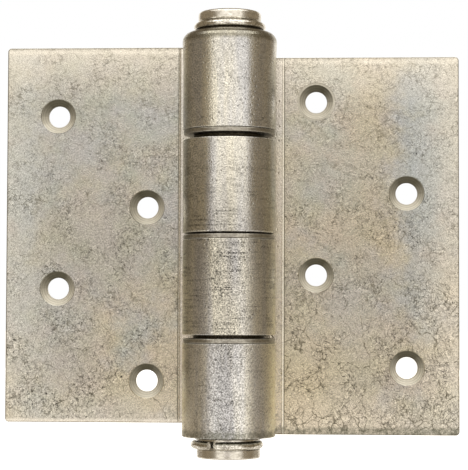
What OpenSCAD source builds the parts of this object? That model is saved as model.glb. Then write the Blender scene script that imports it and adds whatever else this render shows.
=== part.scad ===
// Heavy four-knuckle leaf hinge, lying open flat.
// +Z runs up along the pin, +X towards the right leaf, -Y towards the countersunk side.
// The origin is on the pin's axis, halfway along the pin. Both leaves lie flush with the
// back of the barrel, so the mounting plane is at the barrel's rearmost point.

/* [Leaves] */
// Width of one leaf, from the pin's axis to its free edge
leaf_w = 75.2; // [65:0.1:90]
// Thickness of the rolled sheet
sheet_t = 3.5; // [3:0.1:4]
// How far the left leaf's plate sits above the right leaf's
leaf_stagger = 3.6; // [2:0.1:5]
// How far the right leaf's plate reaches below the bottom knuckle
plate_foot = 0.1; // [0:0.1:2]
// Depth to which the plate is pressed below the strip beside the barrel
coin_depth = 0.2; // [0.1:0.05:0.4]
// Width of the strip beside the barrel, from the barrel's side to the pressed line
strip_w = 2.3; // [1.5:0.1:6]
// Width of the sloping step at the pressed line
coin_slope = 0.5; // [0.4:0.1:1.2]
// Radius of the plate's two outer corners
corner_r = 1.2; // [0.9:0.1:4]
// Width of the small bevel round the front of each plate
edge_break = 0.3; // [0.1:0.05:0.4]
// Room between a swinging knuckle and the other leaf's notch
notch_room = 0.9; // [0.6:0.1:2]

/* [Barrel] */
// Length of the domed top knuckle
first_l = 31.9; // [28:0.1:36]
// Length of the second knuckle
second_l = 30.4; // [27:0.1:34]
// Length of the third knuckle
third_l = 30.8; // [27:0.1:34]
// Length of the bottom knuckle
fourth_l = 30.1; // [27:0.1:34]
// Space between the first two knuckles, a washer included
first_space = 3.2; // [2:0.1:4]
// Space between the middle two knuckles, a washer included
second_space = 2; // [2:0.1:4]
// Space between the last two knuckles, a washer included
third_space = 2.7; // [2:0.1:4]
// How far the domed end stands above the left leaf's plate
dome_rise = 2.8; // [0.5:0.1:3.2]
// Radius of the dome's shoulder
dome_r = 3.2; // [1:0.1:3.5]
// How far the top knuckle swells towards its shoulder, on the radius
dome_swell = 0.3; // [0:0.05:0.5]
// Height over which the top knuckle swells
swell_h = 8; // [4:0.5:20]
// Clearance between the rolled end of a knuckle and its plate
seam_gap = 0.3; // [0.1:0.1:0.8]

/* [Screw holes] */
// Diameter of the holes through the plate
hole_d = 7.2; // [5:0.1:8]
// Diameter of the 90 degree countersinks at the surface
sink_d = 11.8; // [9:0.1:12.5]
// How much wider the one deeper countersink opens
sink_extra = 1; // [0.2:0.1:2]
// Distance of the outer column of holes from the leaf's free edge
outer_col = 17.2; // [12:0.1:20]
// Distance between the two columns of holes
col_step = 29.9; // [25:0.1:32]
// First hole below the left leaf's top edge
left_first = 22.9; // [18:0.1:26]
// First hole above the right leaf's bottom edge
right_first = 22; // [18:0.1:26]
// Height of the first inner hole past the first outer one
row_step = 30.5; // [25:0.1:32]
// Distance between two holes of one column
hole_pitch = 57.6; // [50:0.1:62]

/* [Pin and rings] */
// Diameter of the pin
pin_d = 20.4; // [16:0.1:26]
// How far the pin stands above the top knuckle
upper_end = 6.7; // [6:0.1:12]
// How far the pin stands below the bottom knuckle
lower_end = 6.8; // [6:0.1:12]
// Depth of the two ring grooves
groove_depth = 1.6; // [1:0.1:2]
// Rounding of the pin's lower end
pin_round = 0.5; // [0.2:0.1:1]
// Diameter of the wire of the snap rings
wire_d = 2.6; // [2.2:0.1:3]
// How much wider than its groove's floor a ring springs open, on the diameter
ring_slack = 1; // [0.4:0.1:1.4]
// Open gap between the ends of a snap ring
ring_gap = 2.8; // [1:0.1:5]
// Direction of the lower ring's gap, turned from the front towards the left leaf
lower_gap_turn = 23; // [0:1:90]
// How far the lower ring hangs clear of its bush
pin_float = 0.7; // [0.2:0.1:1.2]

/* [Bushes and washers] */
// Running clearance between the pin and its bushes, on the radius
run_clear = 0.05; // [0.02:0.01:0.09]
// Wall of the bushes pressed into the knuckles
bush_wall = 1.35; // [1:0.05:2]
// How far the outermost bushes stand proud of the barrel
bush_proud = 0.5; // [0.2:0.1:0.8]
// Thickness of the thrust washers
washer_t = 1.6; // [1.2:0.1:1.7]
// How far the washers' rims stay inside the barrel's side
washer_inset = 0.2; // [0:0.1:1]
// Room between the washers' bore and the pin, on the radius
washer_room = 0.3; // [0.1:0.1:0.6]
// Rounding of the washers' edges
washer_round = 0.5; // [0.2:0.1:0.6]
// Running clearance at every sliding end face
end_play = 0.1; // [0.05:0.01:0.15]

/* [Hidden] */
$fn = 96;

// Reach of the cutting blocks past what they cut
cut = 1;
reach = 200;
// Steps in each rounded edge
bend_steps = 5;

// Radii, from the pin outwards
pin_r = pin_d / 2;
bush_r = pin_r + run_clear;
eye_r = bush_r + bush_wall;
barrel_r = eye_r + sheet_t;
groove_r = pin_r - groove_depth;
wire_r = wire_d / 2;
ring_r = groove_r + ring_slack / 2 + wire_r;

// Places on the leaves' section, seen along the pin
back_y = barrel_r;
strip_y = eye_r;
plate_y = strip_y + coin_depth;
coin_x = barrel_r + strip_w;
notch_x = sqrt(pow(barrel_r + notch_room, 2) - pow(strip_y, 2));
// Angle at which the rolled end comes back to its own plate
curl_end = asin((strip_y - seam_gap) / barrel_r);
// Narrow groove left by the press tool at the foot of the step
line_w = 0.25;
line_depth = 0.2;

// Heights along the pin
barrel_l = first_l + first_space + second_l + second_space + third_l + third_space + fourth_l;
pin_l = upper_end + barrel_l + lower_end;
first_top = pin_l / 2 - upper_end;
first_bottom = first_top - first_l;
second_top = first_bottom - first_space;
second_bottom = second_top - second_l;
third_top = second_bottom - second_space;
third_bottom = third_top - third_l;
fourth_top = third_bottom - third_space;
fourth_bottom = fourth_top - fourth_l;
left_plate_top = first_top - dome_rise;
right_plate_bottom = fourth_bottom - plate_foot;
leaf_h = left_plate_top - right_plate_bottom - leaf_stagger;

// Each knuckle: top, bottom, rounding of its top edge and of its bottom edge
first_knuckle = [first_top, first_bottom, dome_r, 0.3];
second_knuckle = [second_top, second_bottom, 0.4, 0.7];
third_knuckle = [third_top, third_bottom, 0.3, 0.4];
fourth_knuckle = [fourth_top, fourth_bottom, 0.3, 0.4];

// Each bush: top and bottom. The ends that stand proud run on a washer or a snap ring.
first_bush = [first_top + bush_proud, first_bottom];
second_bush = [first_bottom - washer_t - end_play, third_top + washer_t + end_play];
third_bush = [third_top, fourth_top + washer_t + end_play];
fourth_bush = [fourth_top, fourth_bottom - bush_proud];
bush_edge = 0.2;

// The upper snap ring carries the pin on the top bush, and the lower one hangs clear
upper_ring_z = first_bush[0] + end_play + wire_r;
lower_ring_z = fourth_bush[1] - pin_float - wire_r;
// Room for the wire in its groove, above and below
groove_room = 0.2;
// The pin's upper end: height and depth of the slope down to its groove, and its round edge
neck_h = 0.5;
neck_in = 0.5;
top_round = 1.1;

steel = [0.74, 0.70, 0.62];
pale_steel = [0.80, 0.78, 0.72];
dark_steel = [0.42, 0.40, 0.36];

// Points of a round edge: centre, radius and the two angles it runs between
function bend(x, z, r, from, to) =
    [for (i = [0:bend_steps])
        let (a = from + (to - from) * i / bend_steps)
            [x + r * cos(a), z + r * sin(a)]];

// A turned ring between two radii, its outer edges rounded
module sleeve(r_in, r_out, top, bottom, top_edge, bottom_edge) {
    rotate_extrude()
        polygon(concat([[r_in, bottom]],
            bend(r_out - bottom_edge, bottom + bottom_edge, bottom_edge, -90, 0),
            bend(r_out - top_edge, top - top_edge, top_edge, 0, 90),
            [[r_in, top]]));
}

// The top knuckle's form, swelling up to a round shoulder, and flat along the mounting plane
module domed_sleeve(top, bottom, shoulder, bottom_edge) {
    shoulder_z = top - shoulder;
    shoulder_r = barrel_r + dome_swell;
    intersection() {
        rotate_extrude()
            polygon(concat([[eye_r, bottom]],
                bend(barrel_r - bottom_edge, bottom + bottom_edge, bottom_edge, -90, 0),
                [[barrel_r, shoulder_z - swell_h]],
                bend(shoulder_r - shoulder, shoulder_z, shoulder, 0, 90),
                [[eye_r, top]]));
        translate([-reach / 2, back_y - reach, bottom - cut])
            cube([reach, reach, top - bottom + 2 * cut]);
    }
}

// What a rolled eye leaves open, from its cut end round to where it joins the plate
module seam(top, bottom) {
    far = barrel_r * 3;
    translate([0, 0, bottom - cut])
        linear_extrude(top - bottom + 2 * cut)
            polygon([[0, 0], [far * cos(curl_end), far * sin(curl_end)], [far, far * 2], [0, far * 2]]);
}

// One knuckle and the tongue of sheet that joins it to a plate on the +X side
module knuckle(span, domed) {
    top = span[0];
    bottom = span[1];
    tongue_top = domed ? top - span[2] : top;
    difference() {
        if (domed)
            domed_sleeve(top, bottom, span[2], span[3]);
        else
            sleeve(eye_r, barrel_r, top, bottom, span[2], span[3]);
        seam(top, bottom);
    }
    translate([0, strip_y, bottom])
        cube([notch_x + cut, sheet_t, tongue_top - bottom]);
}

// The plate's section: raised strip, sloping step, narrow pressed line and flat
module plate_section() {
    polygon([[notch_x, back_y], [notch_x, strip_y], [coin_x - coin_slope, strip_y], [coin_x, plate_y],
        [coin_x, plate_y + line_depth], [coin_x + line_w, plate_y + line_depth], [coin_x + line_w, plate_y],
        [leaf_w, plate_y], [leaf_w, back_y]]);
}

// The plate's outline, its outer corners rounded and its front edges broken with a small bevel
module blank() {
    hull()
        for (layer = [[0, plate_y + edge_break], [edge_break + coin_depth, strip_y]]) {
            inset = layer[0];
            depth = back_y + cut - layer[1];
            translate([0, layer[1], inset])
                cube([cut, depth, leaf_h - 2 * inset]);
            for (z = [corner_r, leaf_h - corner_r])
                translate([leaf_w - corner_r, layer[1], z])
                    rotate([-90, 0, 0])
                        cylinder(r = corner_r - inset, h = depth, $fn = 32);
        }
}

// The plate, pressed to its section and cut to its outline
module plate(foot_z) {
    translate([0, 0, foot_z])
        intersection() {
            linear_extrude(leaf_h)
                plate_section();
            blank();
        }
}

// A through hole with its 90 degree countersink, and a shallow outer step where it was cut wide
module screw_hole(x, z, wide) {
    depth = (sink_d - hole_d) / 2;
    step = sink_extra / 4;
    translate([x, plate_y, z])
        rotate([-90, 0, 0]) {
            translate([0, 0, -cut])
                cylinder(d = hole_d, h = sheet_t + 2 * cut);
            translate([0, 0, -cut])
                cylinder(d1 = sink_d + 2 * cut, d2 = hole_d, h = depth + cut);
            if (wide)
                translate([0, 0, -cut])
                    cylinder(d = sink_d + sink_extra, h = cut + step);
        }
}

// A leaf on the +X side. The rows of holes count from one end, in the given direction.
module leaf(foot_z, spans, domed, end_z, direction, first, wide_row) {
    difference() {
        union() {
            plate(foot_z);
            for (i = [0:len(spans) - 1])
                knuckle(spans[i], domed && i == 0);
        }
        for (row = [0:3])
            screw_hole(
                leaf_w - outer_col - (row % 2) * col_step,
                end_z + direction * (first + (row % 2) * row_step + floor(row / 2) * hole_pitch),
                row == wide_row);
    }
}

module left_leaf() {
    color(steel)
        mirror([1, 0, 0])
            leaf(left_plate_top - leaf_h, [first_knuckle, third_knuckle], true,
                left_plate_top, -1, left_first, -1);
}

module right_leaf() {
    color(steel)
        leaf(right_plate_bottom, [second_knuckle, fourth_knuckle], false,
            right_plate_bottom, 1, right_first, 3);
}

// Pin with a groove near each end. The upper end is necked down to its groove with a slope.
module hinge_pin() {
    half_groove = wire_r + groove_room;
    neck_z = upper_ring_z + half_groove;
    end_z = pin_l / 2;
    color(pale_steel)
        rotate_extrude()
            polygon(concat([[0, -end_z]],
                bend(pin_r - pin_round, pin_round - end_z, pin_round, -90, 0),
                [[pin_r, lower_ring_z - half_groove], [groove_r, lower_ring_z - half_groove],
                    [groove_r, lower_ring_z + half_groove], [pin_r, lower_ring_z + half_groove],
                    [pin_r, upper_ring_z - half_groove], [groove_r, upper_ring_z - half_groove],
                    [groove_r, neck_z], [pin_r - neck_in, neck_z], [pin_r, neck_z + neck_h]],
                bend(pin_r - top_round, end_z - top_round, top_round, 0, 90),
                [[0, end_z]]));
}

// Round-wire ring sprung into a groove, open at one place. Turn 0 faces the front.
module snap_ring(z, shift, turn) {
    color(dark_steel)
        translate([shift[0], shift[1], z])
            difference() {
                rotate_extrude()
                    translate([ring_r, 0])
                        circle(r = wire_r);
                rotate([0, 0, turn])
                    translate([-ring_gap / 2, -reach, -wire_d])
                        cube([ring_gap, reach, wire_d * 2]);
            }
}

module upper_snap_ring() {
    snap_ring(upper_ring_z, [0, ring_slack / 2], 180);
}

module lower_snap_ring() {
    snap_ring(lower_ring_z, [-ring_slack / 2, 0], -lower_gap_turn);
}

module thrust_washer(bottom) {
    color(steel)
        sleeve(pin_r + washer_room, barrel_r - washer_inset, bottom + washer_t, bottom,
            washer_round, washer_round);
}

module upper_thrust_washer() {
    thrust_washer(first_bottom - washer_t);
}

module middle_thrust_washer() {
    thrust_washer(third_top);
}

module lower_thrust_washer() {
    thrust_washer(fourth_top);
}

module bush(span) {
    color(dark_steel)
        sleeve(bush_r, eye_r, span[0], span[1], bush_edge, bush_edge);
}

module first_knuckle_bush() {
    bush(first_bush);
}

module second_knuckle_bush() {
    bush(second_bush);
}

module third_knuckle_bush() {
    bush(third_bush);
}

module fourth_knuckle_bush() {
    bush(fourth_bush);
}

left_leaf();
right_leaf();
hinge_pin();
upper_snap_ring();
lower_snap_ring();
upper_thrust_washer();
middle_thrust_washer();
lower_thrust_washer();
first_knuckle_bush();
second_knuckle_bush();
third_knuckle_bush();
fourth_knuckle_bush();
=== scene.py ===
import math

import bpy
from mathutils import Matrix, Vector


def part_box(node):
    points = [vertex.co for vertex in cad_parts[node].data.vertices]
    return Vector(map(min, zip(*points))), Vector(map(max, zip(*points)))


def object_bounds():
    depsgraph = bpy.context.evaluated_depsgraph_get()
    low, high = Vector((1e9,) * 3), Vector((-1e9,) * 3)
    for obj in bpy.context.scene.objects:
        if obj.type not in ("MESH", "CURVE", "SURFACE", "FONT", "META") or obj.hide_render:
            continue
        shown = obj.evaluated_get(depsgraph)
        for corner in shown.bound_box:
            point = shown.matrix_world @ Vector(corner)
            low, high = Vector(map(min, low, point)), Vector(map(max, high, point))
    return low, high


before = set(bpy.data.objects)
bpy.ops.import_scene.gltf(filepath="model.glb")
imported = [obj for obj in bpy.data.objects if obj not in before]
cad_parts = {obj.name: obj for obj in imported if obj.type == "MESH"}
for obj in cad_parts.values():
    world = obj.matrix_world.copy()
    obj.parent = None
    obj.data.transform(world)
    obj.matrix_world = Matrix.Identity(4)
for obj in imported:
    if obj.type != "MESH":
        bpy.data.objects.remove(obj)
cad_low, cad_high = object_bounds()

# The camera stands a little over half a metre in front of the countersunk side of the open
# hinge, slightly right of the pin and level with the lower part of the barrel.
camera_place = Vector((0.0326, -0.5619, -0.0250))
camera_pan = math.radians(3.16)
camera_tilt = math.radians(2.51)
camera_roll = math.radians(-0.18)
camera_data = bpy.data.cameras.new("camera")
camera_data.sensor_width = 36.0
camera_data.lens = 132.8
camera_data.clip_start = 0.01
camera_data.clip_end = 30.0
camera = bpy.data.objects.new("camera", camera_data)
turns = ((camera_pan, "Z"), (camera_tilt, "X"), (camera_roll, "Y"), (math.pi / 2, "X"))
camera.matrix_world = Matrix.Translation(camera_place)
for angle, axis in turns:
    camera.matrix_world = camera.matrix_world @ Matrix.Rotation(angle, 4, axis)
bpy.context.scene.collection.objects.link(camera)
bpy.context.scene.camera = camera
bpy.context.scene.view_settings.view_transform = "Standard"


# The studio is a floor of lit white acrylic with soft panels round the hinge and dim, brownish
# surroundings, so that the barrel shows a broad highlight between two dark flanks.
def linear(hex_colour):
    """Turns an sRGB colour such as #c0b8a8 into linear values with an alpha of 1."""
    parts = [int(hex_colour[i : i + 2], 16) / 255 for i in (1, 3, 5)]
    return [p / 12.92 if p <= 0.04045 else ((p + 0.055) / 1.055) ** 2.4 for p in parts] + [1.0]


def add_node(tree, kind, inputs=None, out=0, **settings):
    """Adds a shader node, fed by numbers, hex colours or other outputs, and returns an output.

    A socket goes by its name, or by its number where several share a name: in a MapRange 1 to 4
    are the range taken and the range given, and in a Mix 6 and 7 are its two colours.
    """
    made = tree.nodes.new("ShaderNode" + kind)
    for name, value in settings.items():
        setattr(made, name, value)
    for name, value in (inputs or {}).items():
        if isinstance(value, bpy.types.NodeSocket):
            tree.links.new(value, made.inputs[name])
        elif isinstance(value, str):
            made.inputs[name].default_value = linear(value)
        else:
            made.inputs[name].default_value = value
    return made.outputs[out] if made.outputs else made


# The floor lies below the hinge. Only the camera sees it, so it sends no light up to the metal.
floor_half = 6.0
floor_drop = 0.03
floor_z = cad_low.z - floor_drop
floor_mesh = bpy.data.meshes.new("floor")
floor_mesh.from_pydata(
    [(x * floor_half, y * floor_half, floor_z) for x, y in ((-1, -1), (1, -1), (1, 1), (-1, 1))],
    [],
    [(0, 1, 2, 3)],
)
acrylic = bpy.data.materials.new("lit_white_acrylic")
acrylic.use_nodes = True
acrylic_shader = acrylic.node_tree.nodes["Principled BSDF"]
acrylic_shader.inputs["Base Color"].default_value = linear("#f6f5f2")
acrylic_shader.inputs["Roughness"].default_value = 0.8
acrylic_shader.inputs["Specular IOR Level"].default_value = 0.0
acrylic_shader.inputs["Emission Color"].default_value = linear("#ffffff")
acrylic_shader.inputs["Emission Strength"].default_value = 0.92
floor_mesh.materials.append(acrylic)
floor = bpy.data.objects.new("floor", floor_mesh)
floor.visible_glossy = False
floor.visible_diffuse = False
bpy.context.scene.collection.objects.link(floor)

# Past the hinge the camera sees plain white, while the metal mirrors a dim brownish room
studio = bpy.data.worlds.new("studio")
studio.use_nodes = True
bpy.context.scene.world = studio
air = studio.node_tree
air.nodes.clear()
backdrop = add_node(air, "Background", {"Color": "#ffffff", "Strength": 1.0})
room = add_node(air, "Background", {"Color": "#8d7f69", "Strength": 1.02})
straight = add_node(air, "LightPath", out="Is Camera Ray")
surround = add_node(air, "MixShader", {0: straight, 1: room, 2: backdrop})
add_node(air, "OutputWorld", {"Surface": surround})


def hang_panel(name, across, up, glow, colour, far=1.0):
    """Hangs a soft panel that the hinge sees between two bearings and two heights, in degrees.

    The glow is as bright as the panel looks in a mirror, however far away it hangs.
    """
    data = bpy.data.lights.new(name, "AREA")
    data.shape = "RECTANGLE"
    data.size = 2 * far * math.tan(math.radians(across[1] - across[0]) / 2)
    data.size_y = 2 * far * math.tan(math.radians(up[1] - up[0]) / 2)
    data.energy = glow * data.size * data.size_y * math.pi
    data.color = linear(colour)[:3]
    bearing = math.radians((across[0] + across[1]) / 2)
    rise = math.radians((up[0] + up[1]) / 2)
    toward = Vector(
        (math.sin(bearing) * math.cos(rise), -math.cos(bearing) * math.cos(rise), math.sin(rise))
    )
    made = bpy.data.objects.new(name, data)
    facing = (-toward).to_track_quat("-Z", "Y").to_matrix().to_4x4()
    made.matrix_world = Matrix.Translation(toward * far) @ facing
    made.visible_camera = False
    bpy.context.scene.collection.objects.link(made)


# Two tall panels stand left and right of the camera, a bright one above it and two weak ones
# behind and below it, so that the highlight of the barrel has a dim middle. One over the hinge
# and one behind it light its ends and its back, and the low ones stand for light off a table.
hang_panel("left_panel", (-42, -12), (-50, 40), 0.97, "#fffdf8")
hang_panel("right_panel", (10, 52), (-50, 40), 0.97, "#fffdf8")
hang_panel("high_panel", (-12, 10), (8, 40), 1.3, "#fffdf8")
hang_panel("camera_panel", (-12, 10), (-5, 8), 0.55, "#f3f2f9")
hang_panel("lap_panel", (-12, 10), (-50, -5), 0.44, "#f3f2f9")
hang_panel("low_panel", (-45, 45), (-90, -52), 0.9, "#f6f4f0")
hang_panel("top_panel", (-45, 45), (46, 90), 1.9, "#fffdf8")
hang_panel("back_panel", (142, 218), (-10, 30), 0.95, "#fffdf8", far=1.7)
hang_panel("low_back_panel", (114, 246), (-60, -13), 0.65, "#fbf8f2", far=1.7)
hang_panel("low_left_panel", (-114, -48), (-60, -22), 0.4, "#fbf8f2")
hang_panel("low_right_panel", (58, 114), (-60, -22), 0.4, "#fbf8f2")


# The leaves and their knuckles: low-carbon steel sheet, stamped, rolled and zinc plated with a
# thin yellow passivation. It shows as soft grey-beige metal with warm and cool clouds, a curled
# grain, a crazed network of fine dark lines, and a stronger, pitted grain on the rolled barrel.
def per_mm(size):
    """The scale that gives a pattern features of this size, as coordinates are in metres."""
    return 1000.0 / size


def plated_sheet(name, leaf, shift, crazing_top, small_cells, side_light, bands):
    """Makes the plating of one leaf, as each of the two left the bath with marks of its own.

    shift        how far the patterns are moved, so that the leaves differ
    crazing_top  the height below which the net of cracks grows dense
    small_cells  how strongly the draining bath marked the foot, from 0 to 1
    side_light   how strongly painted light pales the outer side, from 0 to 1
    bands        upright tinted bands: distance from the pin, half width, strength and colour
    """
    # The outer fifth of a leaf is plate alone, and the plate is flush with the barrel's back
    plate_side = max(abs(v.co.x) for v in leaf.data.vertices)
    plate = [v.co for v in leaf.data.vertices if abs(v.co.x) > 0.8 * plate_side]
    plate_foot, plate_top = min(v.z for v in plate), max(v.z for v in plate)
    plate_front, plate_back = min(v.y for v in plate), max(v.y for v in plate)
    barrel_radius = plate_back
    barrel_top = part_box("left_leaf")[1].z
    dome_rise = 0.0028
    strip_width = 0.0023
    made = bpy.data.materials.new(name)
    made.use_nodes = True
    tree = made.node_tree
    shader = tree.nodes["Principled BSDF"]
    place = add_node(tree, "TexCoord", out="Object")
    moved = add_node(tree, "VectorMath", {0: place, 1: shift}, operation="ADD")
    # Turned askew, because a noise cut parallel to its own lattice looks combed
    here = add_node(
        tree,
        "VectorRotate",
        {"Vector": moved, "Rotation": (0.6, 0.4, 0.5)},
        rotation_type="EULER_XYZ",
    )
    # A second place, far from the first, for patterns that mustn't follow one another
    there = add_node(tree, "VectorMath", {0: here, 1: (0.31, 0.17, 0.23)}, operation="ADD")
    x_y_z = add_node(tree, "SeparateXYZ", {0: place}).node.outputs
    height = x_y_z["Z"]
    aside = add_node(tree, "Math", {0: x_y_z["X"]}, operation="ABSOLUTE")

    # The sheet is rolled only where it lies within the barrel's radius of the pin's axis
    barrel_edge = barrel_radius + 0.0004
    flat_edge = barrel_radius + 0.0011
    sideways = add_node(tree, "CombineXYZ", {"X": x_y_z["X"], "Y": x_y_z["Y"]})
    reach = add_node(tree, "VectorMath", {0: sideways}, out="Value", operation="LENGTH")
    rolled = add_node(tree, "MapRange", {0: reach, 1: barrel_edge, 2: flat_edge, 3: 1.0, 4: 0.0})
    flat = add_node(tree, "Math", {0: 1.0, 1: rolled}, operation="SUBTRACT")

    # Clouds of the passivation, 20 to 50 mm across: golden low down and near the barrel, bluish
    # high up and towards the outer side
    cloud = add_node(tree, "TexNoise", {"Vector": here, "Scale": per_mm(42), "Detail": 4.0})
    lean = add_node(tree, "MapRange", {0: aside, 1: 0.025, 2: 0.075, 3: 0.01, 4: -0.09})
    sunk = add_node(tree, "MapRange", {0: height, 1: -0.05, 2: 0.05, 3: 0.04, 4: -0.05})
    lean = add_node(tree, "Math", {0: lean, 1: sunk}, operation="ADD")
    cloud = add_node(tree, "Math", {0: cloud, 1: lean}, operation="ADD")
    golden = add_node(tree, "MapRange", {0: cloud, 1: 0.4, 2: 0.6})
    tone = add_node(
        tree, "Mix", {0: golden, 6: "#aeada6", 7: "#c3b9a2"}, out=2, data_type="RGBA"
    )
    cloud = add_node(
        tree, "TexNoise", {"Vector": there, "Scale": per_mm(24), "Detail": 5.0, "Roughness": 0.6}
    )
    cloud = add_node(tree, "Math", {0: cloud, 1: lean}, operation="SUBTRACT")
    bluish = add_node(tree, "MapRange", {0: cloud, 1: 0.5, 2: 0.68, 4: 0.85})
    tone = add_node(tree, "Mix", {0: bluish, 6: tone, 7: "#a9b0b3"}, out=2, data_type="RGBA")

    # Smaller lilac and olive blotches, some 5 to 9 mm across
    blotchy = add_node(
        tree, "TexNoise", {"Vector": there, "Scale": per_mm(10), "Detail": 5.0, "Roughness": 0.6}
    )
    blotch = add_node(tree, "MapRange", {0: blotchy, 1: 0.36, 2: 0.64})
    blotch = add_node(
        tree, "Mix", {0: blotch, 6: "#b1b09c", 7: "#b6ada9"}, out=2, data_type="RGBA"
    )
    tone = add_node(tree, "Mix", {0: 0.38, 6: tone, 7: blotch}, out=2, data_type="RGBA")

    # Upright golden and bluish bands with ragged edges, fading out towards the foot
    sway = 0.024
    ragged = add_node(tree, "Math", {0: blotchy, 1: sway, 2: aside}, operation="MULTIPLY_ADD")
    risen = add_node(tree, "MapRange", {0: height, 1: -0.035, 2: 0.0})
    for band_x, half_width, amount, colour in bands:
        gap = add_node(tree, "Math", {0: ragged, 1: band_x + sway / 2}, operation="SUBTRACT")
        gap = add_node(tree, "Math", {0: gap}, operation="ABSOLUTE")
        tint = add_node(
            tree, "MapRange", {0: gap, 1: 0.2 * half_width, 2: half_width, 3: amount, 4: 0.0}
        )
        tint = add_node(tree, "Math", {0: tint, 1: risen}, operation="MULTIPLY")
        tone = add_node(tree, "Mix", {0: tint, 6: tone, 7: colour}, out=2, data_type="RGBA")

    # Where the bath drained off the right plate, its inner foot is a pale golden cloud
    inner = add_node(tree, "MapRange", {0: aside, 1: 0.025, 2: 0.055, 3: 0.6, 4: 0.0})
    inner = add_node(tree, "Math", {0: inner, 1: small_cells}, operation="MULTIPLY")
    lowest = add_node(tree, "MapRange", {0: height, 1: -0.045, 2: -0.015, 3: 1.0, 4: 0.0})
    inner = add_node(tree, "Math", {0: inner, 1: lowest}, operation="MULTIPLY")
    tone = add_node(tree, "Mix", {0: inner, 6: tone, 7: "#d9caa5"}, out=2, data_type="RGBA")

    # Painted light makes the finish paler along the outer side and the foot of the plate, and most
    # of all at its top
    from_side = add_node(tree, "Math", {0: plate_side, 1: aside}, operation="SUBTRACT")
    from_top = add_node(tree, "Math", {0: plate_top, 1: height}, operation="SUBTRACT")
    from_foot = add_node(tree, "Math", {0: height, 1: plate_foot}, operation="SUBTRACT")
    inset = add_node(tree, "Math", {0: from_side, 1: from_foot}, operation="MINIMUM")
    painted_pale = add_node(tree, "MapRange", {0: inset, 1: 0.0, 2: 0.016, 3: side_light, 4: 0.0})
    tone = add_node(tree, "Mix", {0: painted_pale, 6: tone, 7: "#ebe5d8"}, out=2, data_type="RGBA")
    painted_pale = add_node(tree, "MapRange", {0: from_top, 1: 0.001, 2: 0.018, 3: 0.5, 4: 0.0})
    tone = add_node(tree, "Mix", {0: painted_pale, 6: tone, 7: "#f0e9db"}, out=2, data_type="RGBA")

    # The barrel was burnished by the rolls: paler, in upright cream and cool streaks, dullest
    # round its third knuckle. Where it curves away beside the plates it carries a pale yellow
    # painted reflection of them, and its domed end is painted darker, as painted shade
    dullest_z = -0.012
    upright = add_node(
        tree, "VectorMath", {0: moved, 1: (1.0, 1.0, 0.1)}, operation="MULTIPLY"
    )
    streak = add_node(tree, "TexNoise", {"Vector": upright, "Scale": per_mm(7), "Detail": 3.0})
    streak = add_node(tree, "MapRange", {0: streak, 1: 0.38, 2: 0.62})
    bright = add_node(
        tree, "Mix", {0: streak, 6: "#e0ddd1", 7: "#cacbce"}, out=2, data_type="RGBA"
    )
    dull = add_node(
        tree, "Mix", {0: streak, 6: "#cdcabf", 7: "#b9b9bb"}, out=2, data_type="RGBA"
    )
    away = add_node(tree, "Math", {0: height, 1: dullest_z}, operation="SUBTRACT")
    away = add_node(tree, "Math", {0: away}, operation="ABSOLUTE")
    polish = add_node(tree, "MapRange", {0: away, 1: 0.016, 2: 0.04})
    barrel = add_node(tree, "Mix", {0: polish, 6: dull, 7: bright}, out=2, data_type="RGBA")
    flank_start = barrel_radius - 0.0036
    flank_end = barrel_radius - 0.0006
    rim_reflection = add_node(tree, "MapRange", {0: aside, 1: flank_start, 2: flank_end})
    faded = add_node(tree, "MapRange", {0: height, 1: -0.045, 2: 0.045, 3: 0.75, 4: 0.1})
    rim_reflection = add_node(tree, "Math", {0: rim_reflection, 1: faded}, operation="MULTIPLY")
    barrel = add_node(tree, "Mix", {0: rim_reflection, 6: barrel, 7: "#f1ead0"}, out=2, data_type="RGBA")
    dome_foot = barrel_top - dome_rise
    dome_shade = add_node(
        tree, "MapRange", {0: height, 1: dome_foot - dome_rise / 2, 2: dome_foot, 4: 0.6}
    )
    barrel = add_node(tree, "Mix", {0: dome_shade, 6: barrel, 7: "#8d8977"}, out=2, data_type="RGBA")
    tone = add_node(tree, "Mix", {0: rolled, 6: tone, 7: barrel}, out=2, data_type="RGBA")

    # Curled hair strokes a quarter of a millimetre wide, dark ones and pale ones crossing. They
    # are drawn 1 mm apart, coarser than the real crystals of zinc, which are too fine to show.
    # They crowd into patches, and on the barrel the rolls ironed them faint. Under them lies a
    # grain of fine specks
    squeezed = add_node(
        tree, "VectorMath", {0: here, 1: (1.0, 1.0, 0.8)}, operation="MULTIPLY"
    )
    crossing = add_node(
        tree, "VectorMath", {0: there, 1: (0.8, 1.0, 1.0)}, operation="MULTIPLY"
    )
    stroke = 0.0
    for field, level, width, amount in (
        (squeezed, 0.47, 0.035, 0.9),
        (crossing, 0.52, 0.03, 0.8),
        (crossing, 0.6, 0.03, -0.6),
    ):
        curl = add_node(
            tree,
            "TexNoise",
            {"Vector": field, "Scale": per_mm(1.9), "Detail": 3.0, "Distortion": 0.5},
        )
        curl = add_node(tree, "Math", {0: curl, 1: level}, operation="SUBTRACT")
        curl = add_node(tree, "Math", {0: curl}, operation="ABSOLUTE")
        curl = add_node(tree, "MapRange", {0: curl, 1: 0.0, 2: width, 3: amount, 4: 0.0})
        stroke = add_node(tree, "Math", {0: stroke, 1: curl}, operation="ADD")
    crowd = add_node(tree, "TexNoise", {"Vector": there, "Scale": per_mm(9), "Detail": 3.0})
    crowd = add_node(tree, "MapRange", {0: crowd, 1: 0.4, 2: 0.6, 3: 0.1, 4: 0.42})
    ironed = add_node(tree, "MapRange", {0: rolled, 3: 1.0, 4: 0.3})
    stroke = add_node(tree, "Math", {0: stroke, 1: crowd}, operation="MULTIPLY")
    stroke = add_node(tree, "Math", {0: stroke, 1: ironed}, operation="MULTIPLY")
    speck = add_node(tree, "TexNoise", {"Vector": here, "Scale": per_mm(0.42), "Detail": 1.0})
    grain = add_node(tree, "MapRange", {0: speck, 1: 0.3, 2: 0.7, 3: -0.17, 4: 0.19})
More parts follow.
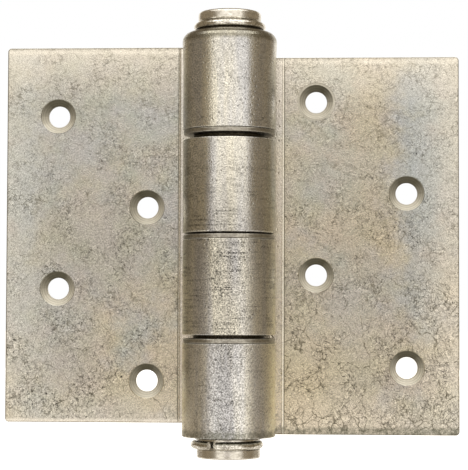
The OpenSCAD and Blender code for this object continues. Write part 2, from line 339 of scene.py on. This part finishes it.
    grain = add_node(tree, "Math", {0: grain, 1: stroke}, operation="SUBTRACT")

    # The grain is stronger towards the foot of the plate, with a slightly lighter ground, and on
    # the barrel, most of all on the front of its lower half, where the passivation is worn into
    # dark mottles
    strength = add_node(
        tree, "MapRange", {0: height, 1: plate_foot, 2: plate_top, 3: 1.9, 4: 0.8}
    )
    fresh = add_node(tree, "MapRange", {0: height, 1: -0.012, 2: 0.012})
    front = add_node(tree, "MapRange", {0: aside, 1: 0.005, 2: 0.0105, 3: 1.0, 4: 0.0})
    mottled = add_node(tree, "MapRange", {0: fresh, 3: 1.0, 4: 0.0})
    mottled = add_node(tree, "Math", {0: front, 1: mottled}, operation="MULTIPLY")
    worn = add_node(tree, "MapRange", {0: mottled, 3: 1.8, 4: 3.1})
    strength = add_node(tree, "Mix", {0: rolled, 2: strength, 3: worn}, data_type="FLOAT")
    lighter = add_node(tree, "MapRange", {0: height, 1: -0.06, 2: 0.0, 3: 1.17, 4: 1.0})
    weight = add_node(
        tree, "Math", {0: grain, 1: strength, 2: lighter}, operation="MULTIPLY_ADD"
    )
    patch = add_node(tree, "TexNoise", {"Vector": upright, "Scale": per_mm(3), "Detail": 3.0})
    patch = add_node(tree, "MapRange", {0: patch, 1: 0.35, 2: 0.65, 3: 0.34, 4: 0.06})
    middle = add_node(tree, "MapRange", {0: aside, 1: 0.0015, 2: 0.0055, 3: 1.0, 4: 0.0})
    for part in (mottled, middle, rolled):
        patch = add_node(tree, "Math", {0: patch, 1: part}, operation="MULTIPLY")
    weight = add_node(tree, "Math", {0: weight, 1: patch}, operation="SUBTRACT")

    # Pits 0.4 mm wide with soft rims, close together on the barrel and far apart on the flat
    cells = add_node(tree, "TexVoronoi", {"Vector": here, "Scale": per_mm(1.5)}).node.outputs
    pit = add_node(tree, "MapRange", {0: cells["Distance"], 1: 0.14, 2: 0.3, 3: 1.0, 4: 0.0})
    chance = add_node(tree, "SeparateColor", {0: cells["Color"]})
    needed = add_node(tree, "MapRange", {0: rolled, 3: 0.8, 4: 0.62})
    chosen = add_node(tree, "Math", {0: chance, 1: needed}, operation="GREATER_THAN")
    pit = add_node(tree, "Math", {0: pit, 1: chosen}, operation="MULTIPLY")
    weight = add_node(tree, "Math", {0: pit, 1: -0.3, 2: weight}, operation="MULTIPLY_ADD")

    # Scuffs run round the barrel, most of them on its dull third knuckle
    round_it = add_node(
        tree, "VectorMath", {0: moved, 1: (0.06, 0.06, 1.0)}, operation="MULTIPLY"
    )
    scuff = add_node(tree, "TexNoise", {"Vector": round_it, "Scale": per_mm(0.75), "Detail": 2.0})
    scuff = add_node(tree, "MapRange", {0: scuff, 1: 0.52, 2: 0.64, 4: 0.4})
    scuffed = add_node(tree, "TexNoise", {"Vector": there, "Scale": per_mm(9), "Detail": 2.0})
    scuffed = add_node(tree, "MapRange", {0: scuffed, 1: 0.4, 2: 0.55})
    rubbing = add_node(tree, "MapRange", {0: polish, 3: 1.0, 4: 0.3})
    for part in (scuffed, rubbing, rolled):
        scuff = add_node(tree, "Math", {0: scuff, 1: part}, operation="MULTIPLY")
    weight = add_node(tree, "Math", {0: weight, 1: scuff}, operation="SUBTRACT")
    tone = add_node(
        tree, "Mix", {0: 1.0, 6: tone, 7: weight}, out=2, data_type="RGBA", blend_type="MULTIPLY"
    )

    # Crazing: a wandering net of broken hair lines where the passivation dried and shrank, in
    # cells about 12 mm across and fine ones of 3 mm, and on the right leaf small round cells
    # along the foot
    wander = add_node(
        tree, "TexNoise", {"Vector": here, "Scale": per_mm(9), "Detail": 3.0}, out="Color"
    )
    bent = add_node(
        tree, "VectorMath", {0: wander, 1: (0.008, 0.008, 0.008), 2: here}, operation="MULTIPLY_ADD"
    )
    beads = add_node(tree, "TexNoise", {"Vector": here, "Scale": per_mm(1.2), "Detail": 2.0})
    broken = add_node(tree, "MapRange", {0: beads, 1: 0.42, 2: 0.53})
    whole = add_node(tree, "MapRange", {0: beads, 1: 0.34, 2: 0.48})
    low = add_node(
        tree,
        "MapRange",
        {0: height, 1: crazing_top - 0.03, 2: crazing_top, 3: 0.75, 4: 0.34},
    )
    foot = add_node(
        tree, "MapRange", {0: from_foot, 1: 0.005, 2: 0.013, 3: 0.8 * small_cells, 4: 0.0}
    )
    on_flat = add_node(tree, "MapRange", {0: rolled, 3: 1.0, 4: 0.45})
    fine = add_node(tree, "MapRange", {0: crowd, 1: 0.12, 2: 0.4, 3: 0.05, 4: 0.5})
    for cell_size, half_hair, bead, where in (
        (12, 0.18, broken, low),
        (4.6, 0.2, whole, foot),
        (3.1, 0.17, broken, fine),
    ):
        hair = add_node(
            tree,
            "TexVoronoi",
            {"Vector": bent, "Scale": per_mm(cell_size)},
            feature="DISTANCE_TO_EDGE",
        )
        rim = half_hair / cell_size
        hair = add_node(tree, "MapRange", {0: hair, 1: 0.3 * rim, 2: rim, 3: 1.0, 4: 0.0})
        for part in (bead, where, on_flat):
            hair = add_node(tree, "Math", {0: hair, 1: part}, operation="MULTIPLY")
        tone = add_node(tree, "Mix", {0: hair, 6: tone, 7: "#575240"}, out=2, data_type="RGBA")

    # Beside the barrel runs the pressed strip, painted paler as painted light, with a fine dark
    # line where its flat ends, a painted highlight on the bevel of its outer side and a dark line
    # in the corner behind that, partly dirt and partly painted shade
    strip_edge = barrel_radius + strip_width
    bevel_start = strip_edge - 0.0006
    bevel_end = strip_edge - 0.00045
    strip = add_node(
        tree, "MapRange", {0: aside, 1: bevel_start, 2: bevel_end, 3: 0.35, 4: 0.0}
    )
    strip = add_node(tree, "Math", {0: strip, 1: flat}, operation="MULTIPLY")
    tone = add_node(tree, "Mix", {0: strip, 6: tone, 7: "#efe8e0"}, out=2, data_type="RGBA")
    # The pale line is a painted highlight, and the last line is partly dirt and partly painted
    # shade
    for line_x, core, fade, amount, colour in (
        (strip_edge - 0.00052, 0.00005, 0.00018, 0.4, "#6f6855"),
        (strip_edge - 0.00018, 0.0001, 0.00026, 0.7, "#fbf6ec"),
        (strip_edge + 0.00024, 0.00008, 0.00022, 0.8, "#57513f"),
    ):
        gap = add_node(tree, "Math", {0: aside, 1: line_x}, operation="SUBTRACT")
        gap = add_node(tree, "Math", {0: gap}, operation="ABSOLUTE")
        line = add_node(tree, "MapRange", {0: gap, 1: core, 2: fade, 3: amount, 4: 0.0})
        tone = add_node(tree, "Mix", {0: line, 6: tone, 7: colour}, out=2, data_type="RGBA")

    # A painted highlight runs just inside the plate's top edge, on the left one also at its foot,
    # and painted shade makes the corner of the sheared edge a thin dark line
    bright_inset = 0.0015
    kept = add_node(tree, "MapRange", {0: blotchy, 1: 0.4, 2: 0.6, 3: 0.45, 4: 1.0})
    kept = add_node(tree, "Math", {0: kept, 1: flat}, operation="MULTIPLY")
    band = add_node(tree, "Math", {0: from_top, 1: bright_inset}, operation="SUBTRACT")
    band = add_node(tree, "Math", {0: band}, operation="ABSOLUTE")
    band = add_node(tree, "MapRange", {0: band, 1: 0.0002, 2: 0.0012, 3: 0.5, 4: 0.0})
    foot_band = add_node(
        tree, "MapRange", {0: from_foot, 1: 0.0007, 2: 0.0016, 3: 0.95 - small_cells, 4: 0.0}
    )
    band = add_node(tree, "Math", {0: band, 1: foot_band}, operation="ADD")
    band = add_node(tree, "Math", {0: band, 1: kept}, operation="MULTIPLY")
    tone = add_node(tree, "Mix", {0: band, 6: tone, 7: "#fbf6ea"}, out=2, data_type="RGBA")
    corner = add_node(tree, "Math", {0: from_side, 1: from_top}, operation="MINIMUM")
    edge_shade = 0.36 - 0.3 * small_cells
    corner = add_node(tree, "MapRange", {0: corner, 1: 0.0002, 2: 0.0007, 3: edge_shade, 4: 0.0})
    tone = add_node(tree, "Mix", {0: corner, 6: tone, 7: "#77715f"}, out=2, data_type="RGBA")

    # Where the right plate drained, its lowest 2 mm carry a dark mottled band
    drained = add_node(
        tree, "MapRange", {0: from_foot, 1: 0.0018, 2: 0.003, 3: 0.75 * small_cells, 4: 0.0}
    )
    mottle = add_node(tree, "MapRange", {0: beads, 1: 0.3, 2: 0.55, 3: 0.3, 4: 1.0})
    drained = add_node(tree, "Math", {0: drained, 1: mottle}, operation="MULTIPLY")
    tone = add_node(tree, "Mix", {0: drained, 6: tone, 7: "#6d6f60"}, out=2, data_type="RGBA")

    # The countersinks and the sheared edges were cut before plating and took a matt coat, which
    # scatters the light. Its colour carries painted light from above: dark where it faces down, as
    # at the top of each countersink, and pale where it faces up, as at its foot
    depth = x_y_z["Y"]
    skin, inside = 0.0001, 0.0003
    cut = add_node(tree, "MapRange", {0: depth, 1: plate_front + skin, 2: plate_front + inside})
    back = add_node(tree, "MapRange", {0: depth, 1: plate_back - skin, 2: plate_back - inside})
    cut = add_node(tree, "Math", {0: cut, 1: back}, operation="MULTIPLY")
    cut = add_node(tree, "Math", {0: cut, 1: flat}, operation="MULTIPLY")
    outward = add_node(tree, "TexCoord", out="Normal")
    outward = add_node(tree, "SeparateXYZ", {0: outward}, out="Z")
    outward = add_node(tree, "Math", {0: blotchy, 1: 0.7, 2: outward}, operation="MULTIPLY_ADD")
    light_from_above = add_node(tree, "MapRange", {0: outward, 1: -0.25, 2: 0.75})
    painted_coat = add_node(tree, "Mix", {0: light_from_above, 6: "#5b5849", 7: "#e2ded1"}, out=2, data_type="RGBA")
    # The cutter left rings, one for every step of its feed
    feed = 0.0007
    ring = add_node(tree, "Math", {0: depth, 1: 2 * math.pi / feed}, operation="MULTIPLY")
    ring = add_node(tree, "Math", {0: ring}, operation="SINE")
    ring = add_node(tree, "MapRange", {0: ring, 1: -1.0, 3: 0.8, 4: 1.04})
    painted_coat = add_node(
        tree, "Mix", {0: 1.0, 6: painted_coat, 7: ring}, out=2, data_type="RGBA", blend_type="MULTIPLY"
    )
    tone = add_node(tree, "Mix", {0: cut, 6: tone, 7: painted_coat}, out=2, data_type="RGBA")
    tree.links.new(tone, shader.inputs["Base Color"])
    metal = add_node(tree, "MapRange", {0: cut, 3: 1.0, 4: 0.4})
    tree.links.new(metal, shader.inputs["Metallic"])

    # The pressed strip is the smoothest, and the worn lower barrel and the matt coat are the
    # roughest. Specks stand up in a slight relief, and strokes and pits lie deeper.
    rough = add_node(tree, "MapRange", {0: speck, 1: 0.3, 2: 0.7, 3: 0.35, 4: 0.23})
    rough = add_node(tree, "Math", {0: strip, 1: -0.2, 2: rough}, operation="MULTIPLY_ADD")
    dulled = add_node(tree, "MapRange", {0: fresh, 3: 0.1, 4: 0.0})
    rough = add_node(tree, "Math", {0: dulled, 1: rolled, 2: rough}, operation="MULTIPLY_ADD")
    rough = add_node(tree, "Math", {0: cut, 1: 0.16, 2: rough}, operation="MULTIPLY_ADD")
    tree.links.new(rough, shader.inputs["Roughness"])
    relief = add_node(tree, "Math", {0: stroke, 1: -0.15, 2: speck}, operation="MULTIPLY_ADD")
    relief = add_node(tree, "Math", {0: relief, 1: pit}, operation="SUBTRACT")
    bump = add_node(tree, "Bump", {"Height": relief, "Strength": 0.4, "Distance": 0.00014})
    tree.links.new(bump, shader.inputs["Normal"])
    return made


def give_surface(ending, surface):
    """Gives each piece whose name has this ending its surface, the same one all over."""
    for name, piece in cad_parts.items():
        if name.endswith(ending):
            piece.data.materials.clear()
            piece.data.materials.append(surface)


left_sheet = plated_sheet(
    "zinc_plated_sheet_left",
    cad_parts["left_leaf"],
    shift=(0.0, 0.0, 0.0),
    crazing_top=-0.035,
    small_cells=0.0,
    side_light=0.3,
    bands=((0.071, 0.007, 0.32, "#a7b3b8"),),
)
give_surface("left_leaf", left_sheet)
right_sheet = plated_sheet(
    "zinc_plated_sheet_right",
    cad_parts["right_leaf"],
    shift=(0.4, 0.2, 0.7),
    crazing_top=-0.008,
    small_cells=0.8,
    side_light=0.5,
    bands=((0.045, 0.014, 0.3, "#c9b692"), (0.063, 0.009, 0.5, "#a7b1b8")),
)
give_surface("right_leaf", right_sheet)


# The bushes: sleeves of sintered bronze, pressed into the knuckles and soaked in oil. Only their
# ends show, as a dark satin band deep in the gaps of the barrel.
def grained_metal(name, light_colour, dark_colour, grain_mm, smoothest, roughest, stretch, relief):
    """Makes a metal with one even grain, whose light spots are the smoothest."""
    made = bpy.data.materials.new(name)
    made.use_nodes = True
    tree = made.node_tree
    shader = tree.nodes["Principled BSDF"]
    shader.inputs["Metallic"].default_value = 1.0
    place = add_node(tree, "TexCoord", out="Object")
    along = add_node(tree, "VectorMath", {0: place, 1: stretch}, operation="MULTIPLY")
    grain = add_node(
        tree,
        "TexNoise",
        {"Vector": along, "Scale": per_mm(grain_mm), "Detail": 3.0, "Distortion": 0.6},
    )
    share = add_node(tree, "MapRange", {0: grain, 1: 0.36, 2: 0.64})
    tone = add_node(
        tree, "Mix", {0: share, 6: dark_colour, 7: light_colour}, out=2, data_type="RGBA"
    )
    tree.links.new(tone, shader.inputs["Base Color"])
    rough = add_node(tree, "MapRange", {0: share, 3: roughest, 4: smoothest})
    tree.links.new(rough, shader.inputs["Roughness"])
    bump = add_node(tree, "Bump", {"Height": grain, "Strength": 0.5, "Distance": relief})
    tree.links.new(bump, shader.inputs["Normal"])
    return made


oiled_bronze = grained_metal(
    "oiled_sintered_bronze",
    light_colour="#4c463a",
    dark_colour="#2e2a22",
    grain_mm=0.6,
    smoothest=0.4,
    roughest=0.6,
    stretch=(1, 1, 1),
    relief=0.0001,
)
give_surface("bush", oiled_bronze)

# The thrust washers: stamped from thin steel, zinc plated, loose on the pin between knuckles.
# They show as a plain mid-grey rim with a felted plated grain.
plated_washer = grained_metal(
    "zinc_plated_washer",
    light_colour="#b5b2a9",
    dark_colour="#928e86",
    grain_mm=0.8,
    smoothest=0.28,
    roughest=0.4,
    stretch=(1, 1, 1),
    relief=0.00006,
)
give_surface("washer", plated_washer)

# The pin: a turned steel bar, zinc plated bright, its grooved ends standing out of the barrel.
# Fine turning marks run round it, drawn 0.7 mm wide because the real ones are too fine to show.
turned_pin = grained_metal(
    "turned_zinc_plated_pin",
    light_colour="#ece9e2",
    dark_colour="#cbc7be",
    grain_mm=0.7,
    smoothest=0.24,
    roughest=0.34,
    stretch=(0.5, 0.5, 1),
    relief=0.00006,
)
give_surface("pin", turned_pin)

# The snap rings: round spring wire, bent to an open ring and sprung into the pin's grooves.
# Drawing leaves the wire with a silky grain and greyer, slightly oily hollows.
spring_wire = grained_metal(
    "drawn_spring_wire",
    light_colour="#f1efe9",
    dark_colour="#aaa69c",
    grain_mm=0.6,
    smoothest=0.1,
    roughest=0.24,
    stretch=(1, 1, 1),
    relief=0.0001,
)
give_surface("ring", spring_wire)
